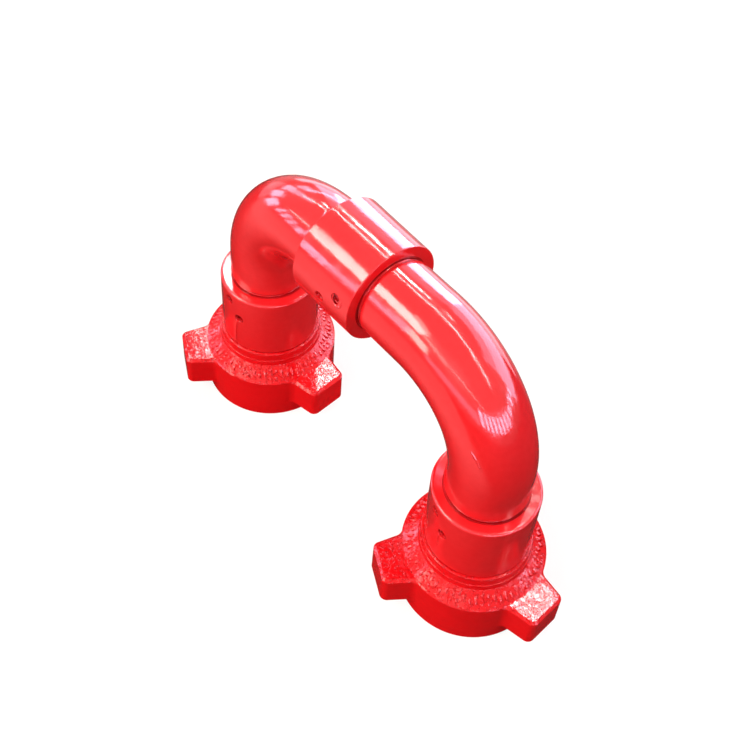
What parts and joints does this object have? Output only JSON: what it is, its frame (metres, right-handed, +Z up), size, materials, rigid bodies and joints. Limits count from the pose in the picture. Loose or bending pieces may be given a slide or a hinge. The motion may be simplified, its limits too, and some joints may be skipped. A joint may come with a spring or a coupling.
{
  "type": "high-pressure swivel joint",
  "caption": "U-shaped high-pressure pipe swivel: two bends joined by a ball-race swivel, with a ball-race swivel and a lugged union nut at the foot of each leg.",
  "frame": {"origin": "on the left leg's axis, in the plane of the left nut's lower face, which stands on the floor", "axes": "+Z up the legs, +X from the left leg to the right leg, the U's plane at y = 0"},
  "size_m": [0.5082, 0.1874, 0.3487],
  "materials": {
    "pipe_paint": "gloss",
    "nut_paint": "gloss over rough casting",
    "plug_paint": "gloss",
    "plain_steel": "machined",
    "spring_steel": "blued",
    "ball_steel": "polished",
    "seal_rubber": "satin",
    "seal_brass": "machined"
  },
  "bodies": {
    "left_end": {"left_end_sub": "pipe_paint", "left_nut_segments": "plain_steel", "left_snap_ring": "spring_steel", "left_ball_plugs": "plug_paint", "left_packing_seal": "seal_rubber", "left_backup_ring": "seal_brass", "left_dust_seal": "seal_rubber"},
    "left_nut": {"left_wing_nut": "nut_paint"},
    "left_balls": {"left_ball_row_outer": "ball_steel", "left_ball_row_inner": "ball_steel"},
    "left_elbow": {"left_elbow": "pipe_paint", "centre_ball_plugs": "plug_paint", "centre_packing_seal": "seal_rubber", "centre_backup_ring": "seal_brass", "centre_dust_seal": "seal_rubber"},
    "centre_balls": {"centre_ball_row_outer": "ball_steel", "centre_ball_row_inner": "ball_steel"},
    "right_elbow": {"right_elbow": "pipe_paint"},
    "right_balls": {"right_ball_row_outer": "ball_steel", "right_ball_row_inner": "ball_steel"},
    "right_end": {"right_end_sub": "pipe_paint", "right_nut_segments": "plain_steel", "right_snap_ring": "spring_steel", "right_ball_plugs": "plug_paint", "right_packing_seal": "seal_rubber", "right_backup_ring": "seal_brass", "right_dust_seal": "seal_rubber"},
    "right_nut": {"right_wing_nut": "nut_paint"}
  },
  "joints": [
    {"name": "left_swivel", "type": "hinge", "parent": "left_end", "child": "left_elbow", "pos_m": [0, 0, 0.1628], "axis": [0, 0, 1], "continuous": true},
    {"name": "left_ball_orbit", "type": "hinge", "parent": "left_end", "child": "left_balls", "pos_m": [0, 0, 0.1628], "axis": [0, 0, 1], "continuous": true},
    {"name": "centre_swivel", "type": "hinge", "parent": "left_elbow", "child": "right_elbow", "pos_m": [0.1866, 0, 0.295], "axis": [1, 0, 0], "continuous": true},
    {"name": "centre_ball_orbit", "type": "hinge", "parent": "left_elbow", "child": "centre_balls", "pos_m": [0.1866, 0, 0.295], "axis": [1, 0, 0], "continuous": true},
    {"name": "right_swivel", "type": "hinge", "parent": "right_elbow", "child": "right_end", "pos_m": [0.3368, 0, 0.1628], "axis": [0, 0, 1], "continuous": true},
    {"name": "right_ball_orbit", "type": "hinge", "parent": "right_elbow", "child": "right_balls", "pos_m": [0.3368, 0, 0.1628], "axis": [0, 0, 1], "continuous": true},
    {"name": "left_nut_spin", "type": "hinge", "parent": "left_end", "child": "left_nut", "pos_m": [0, 0, 0.03], "axis": [0, 0, 1], "continuous": true},
    {"name": "right_nut_spin", "type": "hinge", "parent": "right_end", "child": "right_nut", "pos_m": [0.3368, 0, 0.03], "axis": [0, 0, 1], "continuous": true}
  ],
  "couplings": [
    {"joint": "left_ball_orbit", "follows": "left_swivel", "ratio": 0.442},
    {"joint": "centre_ball_orbit", "follows": "centre_swivel", "ratio": 0.442},
    {"joint": "right_ball_orbit", "follows": "right_swivel", "ratio": 0.558}
  ]
}
